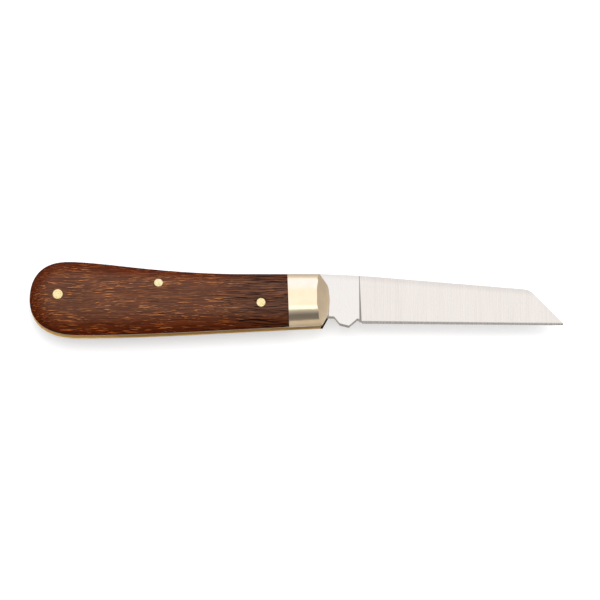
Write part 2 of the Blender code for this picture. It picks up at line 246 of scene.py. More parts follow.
# Softened edges: their widths, where none are softened, and the angles that count as an edge.
SOFT_BLADE = 0.12
SOFT_BOLSTER = 0.10
SOFT_WOOD = 0.06
SOFT_SPRING = 0.06
SOFT_PIN = 0.05
SOFT_LINER = 0.04
FLUSH_RADIUS = 1.8
EDGE_KEEP = 1.3
PLUNGE_KEEP = 1.0
CREASE = math.radians(28.0)
BLADE_CREASE = math.radians(1.5)
FLAT = math.radians(0.1)

# Fineness of curves.
ARC_STEP = math.radians(5.0)
CURVE_STEPS = 44


# ---- plane curves ----


def bezier(p0, p1, p2, p3, steps=CURVE_STEPS):
    """Points of a cubic curve from p0 up to, and without, p3."""
    points = []
    for i in range(steps):
        t = i / steps
        a, b, c, d = (1 - t) ** 3, 3 * t * (1 - t) ** 2, 3 * t * t * (1 - t), t**3
        points.append(tuple(a * p0[k] + b * p1[k] + c * p2[k] + d * p3[k] for k in (0, 1)))
    return points


def arc(radius, start, end):
    """Points of an arc around the pivot, both ends included."""
    steps = math.ceil(abs(end - start) / ARC_STEP)
    angles = [start + (end - start) * i / steps for i in range(steps + 1)]
    return [(radius * math.cos(a), radius * math.sin(a)) for a in angles]


def rounded(corners, closed=False):
    """A polyline whose corners (x, y, radius) are replaced by arcs."""
    points = []
    count = len(corners)
    for i, (x, y, radius) in enumerate(corners):
        if radius == 0 or (not closed and i in (0, count - 1)):
            points.append((x, y))
            continue
        corner = Vector((x, y))
        back = (Vector(corners[i - 1][:2]) - corner).normalized()
        ahead = (Vector(corners[(i + 1) % count][:2]) - corner).normalized()
        opening = back.angle(ahead)
        centre = corner + (back + ahead).normalized() * radius / math.sin(opening / 2)
        reach = radius / math.tan(opening / 2)
        first = corner + back * reach - centre
        turn = -first.angle_signed(corner + ahead * reach - centre)
        steps = max(2, math.ceil(abs(turn) / ARC_STEP))
        for k in range(steps + 1):
            cosine = math.cos(turn * k / steps)
            sine = math.sin(turn * k / steps)
            spun = (first.x * cosine - first.y * sine, first.x * sine + first.y * cosine)
            points.append((centre.x + spun[0], centre.y + spun[1]))
    return points


def back_edge():
    """The handle's back, from the bend behind the bolster to its crest."""
    return bezier(TOP_BEND, *BACK_PULLS, CREST)


def butt_upper():
    return bezier(CREST, *BUTT_UPPER_PULLS, BUTT)


def butt_lower():
    return bezier(BUTT, *BUTT_LOWER_PULLS, BELLY)


def belly_edge():
    front_pull = (BELLY_FRONT[0] - BELLY_LEAD, BELLY_FRONT[1] - BELLY_LEAD * BELLY_SLOPE)
    return bezier(BELLY, BELLY_PULL, front_pull, BELLY_FRONT)


def straight(start, end, steps):
    """Points from start up to, and without, end."""
    return [
        tuple(start[k] + (end[k] - start[k]) * i / steps for k in (0, 1)) for i in range(steps)
    ]


def handle_edge():
    """The handle's edge, anticlockwise from the front of the back to the front of the belly."""
    run = FRONT_REACH - BELLY_FRONT[0]
    belly_end = (FRONT_REACH, BELLY_FRONT[1] + run * BELLY_SLOPE)
    front_top = straight((FRONT_REACH, HANDLE_TOP), TOP_BEND, FRONT_BACK_STEPS)
    front_belly = straight(BELLY_FRONT, belly_end, FRONT_BELLY_STEPS) + [belly_end]
    return front_top + back_edge() + butt_upper() + butt_lower() + belly_edge() + front_belly


def front_curve():
    """The bolster's front end, where it meets the liner."""
    return rounded(FRONT_CORNERS)


def front_at(height):
    """The bolster's front end at a height away from the middle plane."""
    rise = (height - COVER_INNER) / (HALF_KNIFE - COVER_INNER)
    curve = front_curve()
    tip = max(x for x, _ in curve)
    return [(x + (FRONT_TOP + (x - tip) * FRONT_TOP_BOW - x) * rise, y) for x, y in curve]


def ahead_of(front):
    """The outline of everything ahead of a curve across the front end."""
    top_corner = (front[0][0], CUT_REACH)
    belly_corner = (front[-1][0], -CUT_REACH)
    return [top_corner] + front + [belly_corner, (CUT_AHEAD, -CUT_REACH), (CUT_AHEAD, CUT_REACH)]


# ---- solids ----


def add_object(name, bm):
    """Make an object in the frame's place from a bmesh in millimetres around the pivot."""
    bmesh.ops.scale(bm, vec=(MM, MM, MM), verts=bm.verts)
    bmesh.ops.translate(bm, vec=PIVOT, verts=bm.verts)
    bmesh.ops.recalc_face_normals(bm, faces=bm.faces)
    mesh = bpy.data.meshes.new(name)
    bm.to_mesh(mesh)
    bm.free()
    obj = bpy.data.objects.new(name, mesh)
    bpy.context.scene.collection.objects.link(obj)
    return obj


def prism(name, outline, low, high, top=None):
    """A solid from an outline at height low up to height high, where top may be another outline."""
    bm = bmesh.new()
    base = [bm.verts.new((x, y, low)) for x, y in outline]
    roof = [bm.verts.new((x, y, high)) for x, y in top or outline]
    bm.faces.new(base)
    bm.faces.new(roof)
    for i in range(len(base)):
        j = (i + 1) % len(base)
        bm.faces.new((base[i], base[j], roof[j], roof[i]))
    if top:
        bmesh.ops.triangulate(bm, faces=bm.faces)
    return add_object(name, bm)


def rod(name, centre, radius, low, high):
    bm = bmesh.new()
    bmesh.ops.create_cone(
        bm, cap_ends=True, segments=PIN_SIDES, radius1=radius, radius2=radius, depth=high - low
    )
    bmesh.ops.translate(bm, vec=(centre[0], centre[1], (low + high) / 2), verts=bm.verts)
    return add_object(name, bm)


def hexahedron(name, corners):
    """A block from four lower and four upper corners, both in the same order."""
    bm = bmesh.new()
    verts = [bm.verts.new(c) for c in corners]
    for loop in ((3, 2, 1, 0), (4, 5, 6, 7), (0, 1, 5, 4), (1, 2, 6, 5), (2, 3, 7, 6), (3, 0, 4, 7)):
        bm.faces.new([verts[i] for i in loop])
    return add_object(name, bm)


def apply_modifier(target):
    graph = bpy.context.evaluated_depsgraph_get()
    old = target.data
    target.data = bpy.data.meshes.new_from_object(target.evaluated_get(graph))
    target.modifiers.clear()
    bpy.data.meshes.remove(old)


def boolean(target, tool, operation):
    """Cut, join or intersect target with tool, which is used up."""
    modifier = target.modifiers.new(operation, "BOOLEAN")
    modifier.operation = operation
    modifier.object = tool
    apply_modifier(target)
    bpy.data.objects.remove(tool, do_unlink=True)
    return target


def drill(target, node, gap=PIN_GAP):
    reach = HALF_KNIFE + CUT_MARGIN
    hole = rod("drill", middle(node), radius_of(node) + gap, -reach, reach)
    return boolean(target, hole, "DIFFERENCE")


def soften(obj, width, stays_sharp=None):
    """Round the sharp edges a little, except where stays_sharp(x, y) is true, and smooth the rest."""
    edges = bmesh.new()
    edges.from_mesh(obj.data)
    weight = edges.edges.layers.float.new("bevel_weight_edge")
    for edge in edges.edges:
        centre = ((edge.verts[0].co + edge.verts[1].co) / 2 - Vector(PIVOT)) / MM
        kept = stays_sharp and stays_sharp(centre.x, centre.y)
        if edge.calc_face_angle(0.0) > CREASE and not kept:
            edge[weight] = 1.0
    edges.to_mesh(obj.data)
    edges.free()
    obj.data.shade_smooth()
    obj.data.set_sharp_from_angle(angle=CREASE)
    bevel = obj.modifiers.new("soft edges", "BEVEL")
    bevel.width = width * MM
    bevel.segments = 2
    bevel.limit_method = "WEIGHT"
    bevel.harden_normals = True
    bevel.miter_outer = "MITER_ARC"
    return obj


def merge_flat_faces(obj):
    """Join the flat neighbours a boolean has left, so that no bevel follows the lines between them."""
    mesh = bmesh.new()
    mesh.from_mesh(obj.data)
    bmesh.ops.dissolve_limit(mesh, angle_limit=FLAT, verts=mesh.verts, edges=mesh.edges)
    mesh.to_mesh(obj.data)
    mesh.free()


def by_pivot(x, y):
    """Whether a point lies at the pivot pin's end, which is ground flush and can't be seen."""
    return math.hypot(x, y) < FLUSH_RADIUS


def place(obj, mat, node):
    """Give a piece its material, and hide the CAD node that it stands for."""
    obj.data.materials.clear()
    obj.data.materials.append(mat)
    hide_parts(node)
    return obj


# ---- handle ----


def land_point(point):
    """Where the crown's flat begins, below an edge point."""
    x, y = point
    along = max(x, LAND_END[0])
    centre = LAND_END[1] * (along / LAND_END[0])
    out = Vector((x - along, y - centre)).normalized() * LAND_HALF_WIDTH
    return along + out.x, centre + out.y


def crowned_blank(name, side, inner=None):
    """The whole crowned half of the handle, on the pile side (side 1) or the mark side (side -1)."""
    edge = handle_edge()
    lands = [land_point(p) for p in edge]
    radius = HALF_KNIFE + CROWN_SINK
    start = math.asin((COVER_INNER + CROWN_SINK) / radius)
    bm = bmesh.new()
    rings = []
    if inner is not None:
        rings.append([bm.verts.new((x, y, side * inner)) for x, y in edge])
    for step in range(CROWN_STEPS + 1):
        angle = start + (math.pi / 2 - start) * step / CROWN_STEPS
        spread = math.cos(angle) / math.cos(start)
        height = side * (radius * math.sin(angle) - CROWN_SINK)
        ring = []
        for (x, y), (lx, ly) in zip(edge, lands):
            ring.append(bm.verts.new((lx + (x - lx) * spread, ly + (y - ly) * spread, height)))
        rings.append(ring)
    for lower, upper in zip(rings, rings[1:]):
        for i in range(len(edge)):
            j = (i + 1) % len(edge)
            bm.faces.new((lower[i], lower[j], upper[j], upper[i]))
    bm.faces.new(rings[0])
    bm.faces.new(rings[-1])
    return add_object(name, bm)


def joint_cutter(behind):
    """A block over everything behind, or ahead of, the joint between scale and bolster."""
    lean = math.tan(JOINT_SLANT) * CUT_REACH
    centre = JOINT_X + (-JOINT_GAP if behind else JOINT_GAP) / 2
    far = -CUT_LENGTH if behind else CUT_AHEAD
    outline = [(centre + lean, -CUT_REACH), (centre - lean, CUT_REACH)]
    outline += [(far, CUT_REACH), (far, -CUT_REACH)]
    return prism("cut", outline, -HALF_KNIFE - CUT_MARGIN, HALF_KNIFE + CUT_MARGIN)


def front_cutter(side):
    """Everything ahead of the bolster's front end."""
    low = COVER_INNER - CUT_MARGIN
    high = HALF_KNIFE + CUT_MARGIN
    base, top = ahead_of(front_at(low)), ahead_of(front_at(high))
    return prism("cut", base, side * low, side * high, top)


def scale(prefix, side, mat):
    blank = crowned_blank(prefix + "_scale_wood", side)
    boolean(blank, joint_cutter(behind=True), "INTERSECT")
    for node in ("spring_centre_pin", "spring_end_pin", prefix + "_scale_pin"):
        drill(blank, node)
    soften(blank, SOFT_WOOD)
    return place(blank, mat, prefix + "_scale")


def shine_as_flat(obj, side):
    """Let a bolster's slightly twisted front face shine as one flat, by its middle's normal."""
    apply_modifier(obj)
    mesh = obj.data
    flat = Vector((FRONT_FLAT[0], FRONT_FLAT[1], side * FRONT_FLAT[2])).normalized()
    normals = [corner.vector.copy() for corner in mesh.corner_normals]
    for face in mesh.polygons:
        if face.area > FRONT_SMALLEST * MM * MM and face.normal.angle(flat) < FRONT_TWIST:
            for corner in face.loop_indices:
                normals[corner] = flat
    mesh.normals_split_custom_set(normals)


def bolster(prefix, side, mat):
    blank = crowned_blank(prefix + "_bolster_metal", side)
    drill(blank, "pivot_pin", PEENED_GAP)
    boolean(blank, joint_cutter(behind=False), "INTERSECT")
    boolean(blank, front_cutter(side), "DIFFERENCE")
    soften(blank, SOFT_BOLSTER, by_pivot)
    shine_as_flat(blank, side)
    return place(blank, mat, prefix + "_bolster")


def liner(prefix, side, mat):
    low, high = sorted((side * LINER_INNER, side * LINER_OUTER))
    plate = prism(prefix + "_liner_plate", handle_edge(), low, high)
    front = ahead_of([(x - LINER_SETBACK, y) for x, y in front_curve()])
    boolean(plate, prism("cut", front, low - CUT_MARGIN, high + CUT_MARGIN), "DIFFERENCE")
    for node in ("pivot_pin", "spring_centre_pin", "spring_end_pin", prefix + "_scale_pin"):
        drill(plate, node)
    soften(plate, SOFT_LINER)
    return place(plate, mat, prefix + "_liner")


def envelope():
    """The whole crowned handle, as one solid, which trims the pins flush."""
    whole = crowned_blank("trim", 1, inner=-LINER)
    return boolean(whole, crowned_blank("lower", -1, inner=-LINER), "UNION")


def pin(node, mat, low=None, high=None, stays_sharp=None):
    reach = HALF_KNIFE + CUT_MARGIN
    low = -reach if low is None else low
    high = reach if high is None else high
    piece = rod(node + "_rod", middle(node), radius_of(node), low, high)
    boolean(piece, envelope(), "INTERSECT")
    soften(piece, SOFT_PIN, stays_sharp)
    return place(piece, mat, node)


# ---- backspring ----


def backspring(mat):
    """One strip of spring steel: a head over the tang, a thin arm, a boss at each pin and a tail."""
    head = SHOULDER_X - SHOULDER_GAP
    tail_end = [p for p in butt_lower() if p[1] > TAIL_FLOOR]
    tail = (tail_end[-1][0], TAIL_FLOOR, 0)
    underside = rounded([tail] + SPRING_UNDERSIDE + [(head, SPRING_SEAT, 0)])
    top = straight((head, HANDLE_TOP), TOP_BEND, SPRING_HEAD_STEPS)
    outline = top + back_edge() + butt_upper() + tail_end + underside
    strip = prism("backspring_strip", outline, -HALF_SPRING, HALF_SPRING)
    drill(strip, "spring_centre_pin")
    drill(strip, "spring_end_pin")
    soften(strip, SOFT_SPRING)
    return place(strip, mat, "backspring")


# ---- blade ----


def closed_flat(along):
    """A point of the tang's flat that lies under the spring when the knife is closed."""
    normal = Vector((-math.sin(CLOSED_ANGLE), math.cos(CLOSED_ANGLE)))
    across = Vector((-normal.y, normal.x))
    return tuple(normal * (SPRING_SEAT - BEARING_GAP) + across * along)


def blade_outline():
    """The blank's outline, anticlockwise from the notch that stops against the spring."""
    seat = SPRING_SEAT - BEARING_GAP
    spread = math.acos(seat / CAM_RADIUS)
    cam = arc(CAM_RADIUS, math.pi / 2 + spread, math.pi / 2 + CLOSED_ANGLE - spread)
    cam_corners = [cam[-1] + (0,), closed_flat(CLOSED_FLAT_END) + (CLOSED_FLAT_CORNER,)]
    tang = rounded(cam_corners + KICK_CORNERS + CHOIL_CORNERS + [EDGE_START + (0,)])
    spine = rounded(
        [
            EDGE_END + (0,),
            POINT + (0,),
            SPINE_END + (SPINE_END_RADIUS,),
            SPINE_BEND + (SPINE_BEND_RADIUS,),
            (SHOULDER_X, SPINE_AT_SHOULDER, 0),
        ]
    )
    return [(SHOULDER_X, seat)] + cam + tang[1:] + spine


def ground_height(x, y):
    """Half the blade's thickness on the flat grind, which is one plane on each side."""
    run = (x - PLUNGE_X) / (EDGE_END[0] - PLUNGE_X)
    edge_y = EDGE_START[1] + (EDGE_END[1] - EDGE_START[1]) * run
    edge_z = GRIND_AT_HEEL + (GRIND_AT_POINT - GRIND_AT_HEEL) * run
    rise = (HALF_TANG - GRIND_BELOW_SPINE - GRIND_AT_HEEL) / (SPINE_BEND[1] - EDGE_START[1])
    return edge_z + (y - edge_y) * rise


def edge_line(x):
    """How high the cutting edge lies at x."""
    run = (x - EDGE_START[0]) / (EDGE_END[0] - EDGE_START[0])
    return EDGE_START[1] + (EDGE_END[1] - EDGE_START[1]) * run


def bevel_height(x, y):
    """Half the blade's thickness on the bevel along the cutting edge."""
    return EDGE_HALF + (y - edge_line(x)) * EDGE_BEVEL


def spine_line(x):
    """How high the blade's spine lies at x, ahead of its bend."""
    slope = (SPINE_END[1] - SPINE_BEND[1]) / (SPINE_END[0] - SPINE_BEND[0])
    return SPINE_BEND[1] + (x - SPINE_BEND[0]) * slope


def by_grind(x, y):
    """Whether a point lies at the plunge or near the cutting edge, whose lines stay crisp."""
    by_plunge = abs(x - PLUNGE_X) < PLUNGE_KEEP and y < spine_line(x) - PLUNGE_KEEP / 2
    return by_plunge or (x > PLUNGE_X and y < edge_line(x) + EDGE_KEEP)


def plunge_foot(y):
    """How far ahead the plunge's wall reaches the flat grind at y."""
    return PLUNGE_X + PLUNGE_LEAN * (HALF_TANG - ground_height(PLUNGE_X, y))


def grinding_block(height, side):
    """What the grinder takes off one side: all above a height, ahead of the plunge's leaning wall."""

    def wall(y):
        at_plunge = height(PLUNGE_X, y)
        climb = height(PLUNGE_X + 1, y) - at_plunge
        return PLUNGE_X + PLUNGE_LEAN * (HALF_TANG - at_plunge) / (1 + PLUNGE_LEAN * climb)

    floor = [(wall(-GRIND_REACH), -GRIND_REACH), (CUT_LENGTH, -GRIND_REACH)]
    floor += [(CUT_LENGTH, GRIND_REACH), (wall(GRIND_REACH), GRIND_REACH)]
    roof_wall = PLUNGE_X + PLUNGE_LEAN * (HALF_TANG - GRIND_ROOF)
    roof = [(roof_wall, -GRIND_REACH), (CUT_LENGTH, -GRIND_REACH)]
    roof += [(CUT_LENGTH, GRIND_REACH), (roof_wall, GRIND_REACH)]
    lower = [(x, y, side * height(x, y)) for x, y in floor]
    return hexahedron("grind", lower + [(x, y, side * GRIND_ROOF) for x, y in roof])


def nick_cutter():
    """A cone whose rim sweeps a crescent below the spine, on the mark side."""
    wall_y = spine_line(NICK_X) - NICK_BELOW_SPINE
    surface = ground_height(NICK_X, wall_y)
    bm = bmesh.new()
    bmesh.ops.create_cone(
        bm,
        cap_ends=True,
        segments=NICK_SIDES,
        radius1=NICK_RADIUS - 2 * NICK_DEPTH,
        radius2=NICK_RADIUS,
        depth=2 * NICK_WIDTH,
    )
    bmesh.ops.rotate(bm, matrix=Matrix.Rotation(-math.pi / 2, 3, "X"), verts=bm.verts)
    centre = (NICK_X, wall_y - NICK_WIDTH, NICK_DEPTH - surface - NICK_RADIUS)
    bmesh.ops.translate(bm, vec=centre, verts=bm.verts)
    return add_object("nick", bm)


def blade(mat):
    blank = prism("blade_blank", blade_outline(), -HALF_TANG, HALF_TANG)
    for side in (1, -1):
        boolean(blank, grinding_block(ground_height, side), "DIFFERENCE")
        boolean(blank, grinding_block(bevel_height, side), "DIFFERENCE")
    boolean(blank, nick_cutter(), "DIFFERENCE")
    drill(blank, "pivot_pin", RUNNING_GAP)
    merge_flat_faces(blank)
    soften(blank, SOFT_BLADE, by_grind)
    blank.data.set_sharp_from_angle(angle=BLADE_CREASE)
    return place(blank, mat, "blade")


# ---- materials ----


class Nodes:
    """A material's node tree, with short calls for the nodes used here."""

    def __init__(self, name, roughness, metallic):
        self.material = bpy.data.materials.new(name)
        self.material.use_nodes = True
        self.tree = self.material.node_tree
        self.shader = self.tree.nodes["Principled BSDF"]
        self.shader.inputs["Roughness"].default_value = roughness
        self.shader.inputs["Metallic"].default_value = metallic

    def add(self, kind, inputs=(), **settings):
        node = self.tree.nodes.new(kind)
        for key, value in settings.items():
            setattr(node, key, value)
        for key, value in dict(inputs).items():
            self.feed(node, key, value)
        return node

    def feed(self, node, key, value):
        if hasattr(value, "is_output"):
            self.tree.links.new(value, node.inputs[key])
        else:
            node.inputs[key].default_value = value

    def position(self):
        """Object coordinates, in metres."""
        return self.add("ShaderNodeTexCoord").outputs["Object"]

    def place(self, scale, rotation=(0, 0, 0), location=(0, 0, 0), source=None):
        """A position, by default the object's own, stretched by scale per millimetre."""
        mapping = self.add(
            "ShaderNodeMapping",
            {
                "Vector": self.position() if source is None else source,
                "Scale": tuple(s / MM for s in scale),
                "Rotation": rotation,
                "Location": location,
            },
        )
        return mapping.outputs["Vector"]

    def above(self, line, along, value):
        """How far value, in metres, lies above a straight line in millimetres."""
        slope = line(1) - line(0)
        rise = self.math("MULTIPLY", along, slope)
        return self.math("SUBTRACT", self.math("SUBTRACT", value, rise), line(0) * MM)

    def split(self, vector):
        return self.add("ShaderNodeSeparateXYZ", {"Vector": vector}).outputs

    def from_middle(self):
        """How far a point lies from the knife's middle plane, in metres."""
        z = self.split(self.position())[2]
        return self.math("ABSOLUTE", self.math("SUBTRACT", z, PIVOT[2]))

    def noise(self, vector, detail=3.0, roughness=0.55):
        settings = {"Vector": vector, "Scale": 1.0, "Detail": detail, "Roughness": roughness}
        return self.add("ShaderNodeTexNoise", settings).outputs["Fac"]

    def ramp(self, value, low, high, to_low=0.0, to_high=1.0):
        """Value from low to high, spread over to_low to to_high, with soft ends."""
        settings = {"From Min": low, "From Max": high, "To Min": to_low, "To Max": to_high}
        node = self.add("ShaderNodeMapRange", settings, interpolation_type="SMOOTHSTEP")
        self.feed(node, "Value", value)
        return node.outputs["Result"]

    def math(self, operation, a, b=0.0):
        node = self.add("ShaderNodeMath", operation=operation)
        self.feed(node, 0, a)
        self.feed(node, 1, b)
        return node.outputs[0]

    def mix(self, factor, a, b, blend="MIX"):
        node = self.add("ShaderNodeMix", data_type="RGBA", blend_type=blend)
        self.feed(node, 0, factor)
        self.feed(node, 6, a)
        self.feed(node, 7, b)
        return node.outputs[2]

    def bump(self, height, distance, strength):
        settings = {"Height": height, "Distance": distance * MM, "Strength": strength}
        return self.add("ShaderNodeBump", settings).outputs["Normal"]

    def finish(self, colour=None, roughness=None, normal=None):
        for key, value in (("Base Color", colour), ("Roughness", roughness), ("Normal", normal)):
            if value is not None:
                self.feed(self.shader, key, value)
        return self.material


def steel_material():
    """Satin steel, ground across, brighter on the tang, with painted shade along the spine, on the
    plunge's wall and on the tang's narrow faces, and a painted dark reflection on the edge bevel.
    """
    m = Nodes("satin ground steel", 0.28, 1.0)
    x, y, _ = m.split(m.position())
    lines = m.noise(m.place((4.0, 0.04, 0.04)), detail=4.0, roughness=0.6)
    broad = m.noise(m.place((0.25, 0.02, 0.1)), detail=2.0)
    tone = m.mix(m.ramp(lines, 0.3, 0.7), (0.615, 0.572, 0.538, 1), (0.665, 0.622, 0.588, 1))
    tone = m.mix(m.ramp(broad, 0.35, 0.65, 0.0, 0.5), tone, (0.665, 0.625, 0.590, 1))
    tang = m.ramp(x, (PLUNGE_X - 0.4) * MM, (PLUNGE_X + 0.2) * MM, 1.0, 0.0)
    tone = m.mix(m.math("MULTIPLY", tang, 0.8), tone, (0.680, 0.648, 0.612, 1))

    # Painted shade: a little darker towards the spine.
    spine_shade = m.ramp(m.above(spine_line, x, y), -2.4 * MM, -0.3 * MM)
    tone = m.mix(m.math("MULTIPLY", spine_shade, 0.10), tone, (0, 0, 0, 1))
    # Painted dark reflection on the edge bevel.
    beyond = m.ramp(x, PLUNGE_X * MM, (PLUNGE_X + 1) * MM)
    bevel_shade = m.ramp(m.above(edge_line, x, y), 0.80 * MM, 0.86 * MM, 1.0, 0.0)
    tone = m.mix(m.math("MULTIPLY", bevel_shade, beyond), tone, (0.50, 0.46, 0.43, 1))
    # Painted shade on the plunge's wall.
    wall = m.ramp(m.above(plunge_foot, y, x), 0.0, 0.06 * MM, 1.0, 0.0)
    wall = m.math("MULTIPLY", wall, m.ramp(x, (PLUNGE_X - 0.03) * MM, (PLUNGE_X + 0.03) * MM))
    tone = m.mix(wall, tone, (0.36, 0.33, 0.31, 1))
    # Painted shade on the tang's narrow faces, which look down at the floor.
    tang_side_shade = m.math("MULTIPLY", m.ramp(m.from_middle(), 1.12 * MM, 1.24 * MM, 1.0, 0.0), tang)
    tone = m.mix(tang_side_shade, tone, (0.34, 0.315, 0.29, 1))

    rough = m.ramp(lines, 0.25, 0.75, 0.22, 0.32)
    return m.finish(tone, rough, m.bump(lines, 0.002, 0.5))


def spring_material():
    m = Nodes("spring steel", 0.32, 1.0)
    lines = m.noise(m.place((0.05, 3.0, 3.0)), detail=4.0, roughness=0.6)
    tone = m.mix(m.ramp(lines, 0.3, 0.7), (0.50, 0.48, 0.45, 1), (0.64, 0.61, 0.58, 1))
    return m.finish(tone, m.ramp(lines, 0.25, 0.75, 0.26, 0.42), m.bump(lines, 0.005, 0.6))


def nickel_silver_material():
    """Pale, finely scratched metal, with painted shade on the faces towards the liners."""
    m = Nodes("nickel silver", 0.17, 1.0)
    # Painted shade on the faces in the slot, towards the liners.
    slot_shade = m.ramp(m.from_middle(), (COVER_INNER + 0.02) * MM, (COVER_INNER + 0.10) * MM, 1.0, 0.0)
    across = m.place((0.3, 4.0, 1.5), rotation=(0, 0, math.radians(84)))
    scratches = m.noise(across, detail=5.0, roughness=0.65)
    cloud = m.noise(m.place((0.25, 0.25, 0.25)), detail=2.0)
    tone = m.mix(m.ramp(cloud, 0.3, 0.7), (0.80, 0.655, 0.470, 1), (0.83, 0.690, 0.505, 1))
    tone = m.mix(slot_shade, tone, (0.05, 0.04, 0.03, 1))
    return m.finish(tone, m.ramp(scratches, 0.3, 0.7, 0.13, 0.22), m.bump(scratches, 0.0025, 0.4))


def liner_material(name, butt, middle_tone, front):
    """Brass plate with lines from filing, whose colour changes from the butt to the bolster as painted
    light and shade.
    """
    m = Nodes(name, 0.34, 0.5)
    x = m.split(m.position())[0]
    # Painted light and shade: the tones from the butt to the bolster stand for the strip's changing
    # reflections.
    tone = m.mix(m.ramp(x, -67 * MM, -57 * MM), butt, middle_tone)
    tone = m.mix(m.ramp(x, -8 * MM, -5 * MM), tone, front)
    lines = m.noise(m.place((0.4, 4.0, 4.0)), detail=3.0)
    tone = m.mix(m.ramp(lines, 0.3, 0.7, 0.15, 0.0), tone, (0, 0, 0, 1))
    return m.finish(tone, m.ramp(lines, 0.3, 0.7, 0.28, 0.42), m.bump(lines, 0.004, 0.5))


def pin_material():
    m = Nodes("pin brass", 0.26, 1.0)
    speckle = m.noise(m.place((1.6, 1.6, 1.6)), detail=3.0, roughness=0.6)
    tone = m.mix(m.ramp(speckle, 0.38, 0.62), (0.64, 0.51, 0.23, 1), (0.80, 0.66, 0.36, 1))
    return m.finish(tone, m.ramp(speckle, 0.3, 0.7, 0.2, 0.4), m.bump(speckle, 0.006, 0.4))


def streaks(m, grain, scale, offset, low, high):
    """Thin broken lines along the grain, where a stretched noise passes from low to high."""
    drawn = m.noise(m.place(scale, location=offset, source=grain), detail=1.5, roughness=0.5)
    return m.ramp(drawn, low, high)


def wood_material():
    """Red-brown wood with fine fibre, tan pores with a painted shadow on one side, black lines by the
    bolster, a painted sheen on the crown's top and painted shade towards its edges.
    """
    m = Nodes("oiled hardwood", 0.30, 0.0)
    m.shader.inputs["Specular IOR Level"].default_value = 0.025
    x = m.split(m.position())[0]
    wander = m.math("MULTIPLY", m.noise(m.place((0.035, 0.05, 0.05)), detail=2.0), 3.0 * MM)
    sway = m.add("ShaderNodeCombineXYZ", {"Y": wander, "Z": wander})
    bent = m.add("ShaderNodeVectorMath", {0: m.position(), 1: sway.outputs[0]}, operation="ADD")
    grain = bent.outputs[0]
    rim = m.ramp(m.from_middle(), 3.6 * MM, 5.9 * MM, 1.0, 0.0)
    brink = m.ramp(m.from_middle(), 2.0 * MM, 3.9 * MM, 1.0, 0.0)

    fibre = m.noise(m.place((0.07, 3.6, 1.8), source=grain), detail=5.0, roughness=0.7)
    band = m.noise(m.place((0.02, 0.30, 0.30), location=(3, 1, 7), source=grain), detail=3.0)
    tone = m.mix(m.ramp(fibre, 0.34, 0.66), (0.040, 0.0090, 0.0028, 1), (0.126, 0.0335, 0.0110, 1))
    tone = m.mix(m.ramp(band, 0.40, 0.62, 0.0, 0.6), tone, (0.070, 0.0165, 0.0055, 1))
    # Painted sheen: a little grey added on the crown's top, away from its edges.
    tone = m.mix(rim, m.mix(1.0, tone, (0.012, 0.0145, 0.0125, 1), "ADD"), tone)

    front = m.ramp(x, -34 * MM, -13 * MM)
    tone = m.mix(m.math("MULTIPLY", front, 0.45), tone, (0.078, 0.0370, 0.0235, 1))

    cluster = m.noise(m.place((0.05, 0.20, 0.20), location=(11, 5, 2)), detail=2.0)
    fewer = m.ramp(front, 0.2, 1.0, 1.0, 0.35)
    here = m.math("MULTIPLY", m.ramp(cluster, 0.36, 0.58, 0.35, 1.0), fewer)
    long_pores = ((0.18, 3.6, 0.8), 0, 0.63, 0.67)
    short_pores = ((0.32, 4.6, 1.0), 17, 0.635, 0.675)
    for scale, offset, low, high in (long_pores, short_pores):
        pores = m.math("MULTIPLY", streaks(m, grain, scale, (offset, 0, 0), low, high), here)
        # Painted shadow: a dark copy of each pore, just beside it.
        shades = m.math("MULTIPLY", streaks(m, grain, scale, (offset, 0.9, 0), low, high), here)
        tone = m.mix(m.math("MULTIPLY", shades, 0.9), tone, (0.018, 0.0055, 0.0030, 1))
        tone = m.mix(m.math("MULTIPLY", pores, 0.9), tone, (0.400, 0.150, 0.0500, 1))

    lines = streaks(m, grain, (0.11, 4.2, 1.0), (5, 9, 4), 0.515, 0.56)
    lines = m.math("MULTIPLY", lines, m.ramp(front, 0.0, 0.7, 0.35, 1.0))
    tone = m.mix(lines, tone, (0.0070, 0.0040, 0.0030, 1))
    # Painted shade: darker and redder towards the crown's edges, most near the liners.
    tone = m.mix(m.math("MULTIPLY", rim, 0.8), tone, (0.84, 0.55, 0.30, 1), "MULTIPLY")
    tone = m.mix(brink, tone, (0.74, 0.55, 0.30, 1), "MULTIPLY")

    rough = m.math("ADD", m.ramp(fibre, 0.3, 0.7, 0.28, 0.38), m.math("MULTIPLY", rim, 0.3))
    height = m.math("SUBTRACT", m.math("MULTIPLY", fibre, 0.3), m.math("MAXIMUM", pores, lines))
    return m.finish(tone, rough, m.bump(height, 0.012, 0.4))


def floor_material():
    m = Nodes("pale floor", 0.9, 0.0)
    m.shader.inputs["Base Color"].default_value = (0.57, 0.57, 0.57, 1)
    m.shader.inputs["Specular IOR Level"].default_value = 0.0
    m.shader.inputs["Emission Color"].default_value = (1, 1, 1, 1)
    m.shader.inputs["Emission Strength"].default_value = FLOOR_GLOW
    grain = m.noise(m.place((0.5, 0.5, 0.5)), detail=2.0)
    return m.finish(roughness=m.ramp(grain, 0.3, 0.7, 0.85, 0.95))


# ---- studio ----


def sheet(name, size, mat):
    """A flat sheet for the studio, in metres, around its own middle."""
    bm = bmesh.new()
    bmesh.ops.create_grid(bm, x_segments=1, y_segments=1, size=0.5)
    bmesh.ops.scale(bm, vec=(size[0], size[1], 1), verts=bm.verts)
    mesh = bpy.data.meshes.new(name)
    bm.to_mesh(mesh)
    bm.free()
    mesh.materials.append(mat)
    obj = bpy.data.objects.new(name, mesh)
    bpy.context.scene.collection.objects.link(obj)
    return obj


